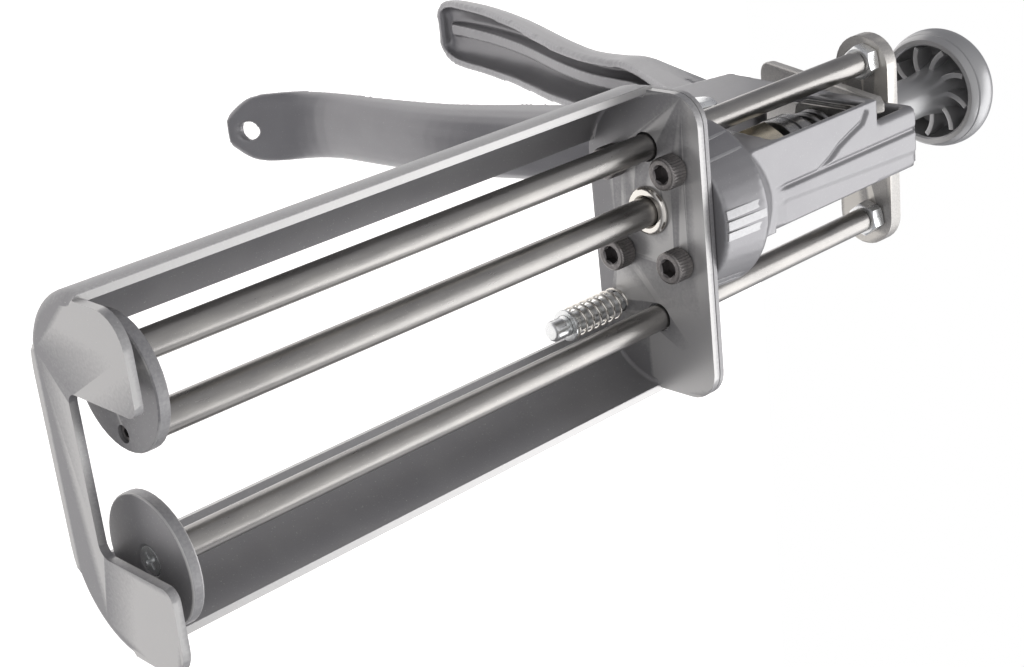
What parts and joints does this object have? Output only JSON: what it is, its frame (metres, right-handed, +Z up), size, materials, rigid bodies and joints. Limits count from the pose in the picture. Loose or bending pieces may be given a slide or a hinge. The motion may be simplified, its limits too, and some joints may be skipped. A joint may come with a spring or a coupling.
{
  "type": "caulking gun",
  "caption": "Hand-operated caulking gun for two side-by-side cartridges, with an open sheet-metal cradle, a cast grip and trigger, push discs and a round pull knob.",
  "frame": {"origin": "front plate's outer face, midway between the two cartridges and halfway up the strip below the nozzle slot", "axes": "+X along the rods towards the nozzle end, +Y to the left of whoever holds it, +Z up with the handle hanging towards -Z"},
  "size_m": [0.354, 0.0979, 0.2783],
  "materials": {
    "cradle_paint": "satin",
    "casting_paint": "satin metallic",
    "dark_steel": "satin",
    "blackened_steel": "satin",
    "black_oxide": "satin",
    "zinc_plate": "bright plated",
    "nickel": "bright",
    "pale_gold_nut": "plated",
    "knob_plastic": "matte"
  },
  "bodies": {
    "gun_frame": {"cradle_frame": "cradle_paint", "backing_plate": "cradle_paint", "cradle_screw_1": "black_oxide", "cradle_screw_2": "black_oxide", "cradle_screw_3": "black_oxide", "cradle_screw_4": "black_oxide", "body_casting": "casting_paint", "front_bushing": "nickel", "rear_bushing": "nickel", "gland_nut": "pale_gold_nut", "spring_cup": "blackened_steel", "drive_spring": "blackened_steel", "brake_spring": "blackened_steel", "pivot_pin": "zinc_plate", "pivot_clip": "zinc_plate", "holder_spring": "nickel"},
    "carriage": {"drive_rod": "dark_steel", "drive_rod_screw": "black_oxide", "drive_rod_clip": "zinc_plate", "guide_rod_right": "dark_steel", "guide_rod_left": "dark_steel", "push_disc_right": "cradle_paint", "push_disc_left": "cradle_paint", "disc_screw_right": "zinc_plate", "disc_screw_left": "zinc_plate", "yoke": "cradle_paint", "yoke_nut_right": "zinc_plate", "yoke_nut_left": "zinc_plate", "knob": "knob_plastic", "knob_insert": "pale_gold_nut"},
    "trigger_lever": {"trigger": "casting_paint"},
    "grip_plates": {"grip_plate_front": "dark_steel", "grip_plate_rear": "dark_steel"},
    "brake": {"brake_plate": "cradle_paint"},
    "holder": {"holder_pin": "zinc_plate", "holder_collar": "zinc_plate", "holder_clip": "zinc_plate"}
  },
  "joints": [
    {"name": "carriage_slide", "type": "slide", "parent": "gun_frame", "child": "carriage", "axis": [1, 0, 0], "range_m": [-0.15, 0]},
    {"name": "trigger_pivot", "type": "hinge", "parent": "gun_frame", "child": "trigger_lever", "pos_m": [-0.248, -0.0104, -0.0089], "axis": [0, 1, 0], "range_deg": [0, 22], "stiffness_Nm_per_rad": 2},
    {"name": "grip_slide", "type": "slide", "parent": "gun_frame", "child": "grip_plates", "axis": [1, 0, 0], "range_m": [0, 0.0118], "deforming": ["drive_spring"]},
    {"name": "brake_release", "type": "hinge", "parent": "gun_frame", "child": "brake", "pos_m": [-0.28508, -0.0104, 0.03115], "axis": [0, 1, 0], "range_deg": [-5, 0], "stiffness_Nm_per_rad": 1, "deforming": ["brake_spring"]},
    {"name": "holder_slide", "type": "slide", "parent": "gun_frame", "child": "holder", "axis": [1, 0, 0], "range_m": [-0.015, 0], "stiffness_N_per_m": 300, "deforming": ["holder_spring"]}
  ],
  "couplings": [
    {"joint": "grip_slide", "follows": "trigger_pivot", "m_per_rad": 0.0305}
  ]
}
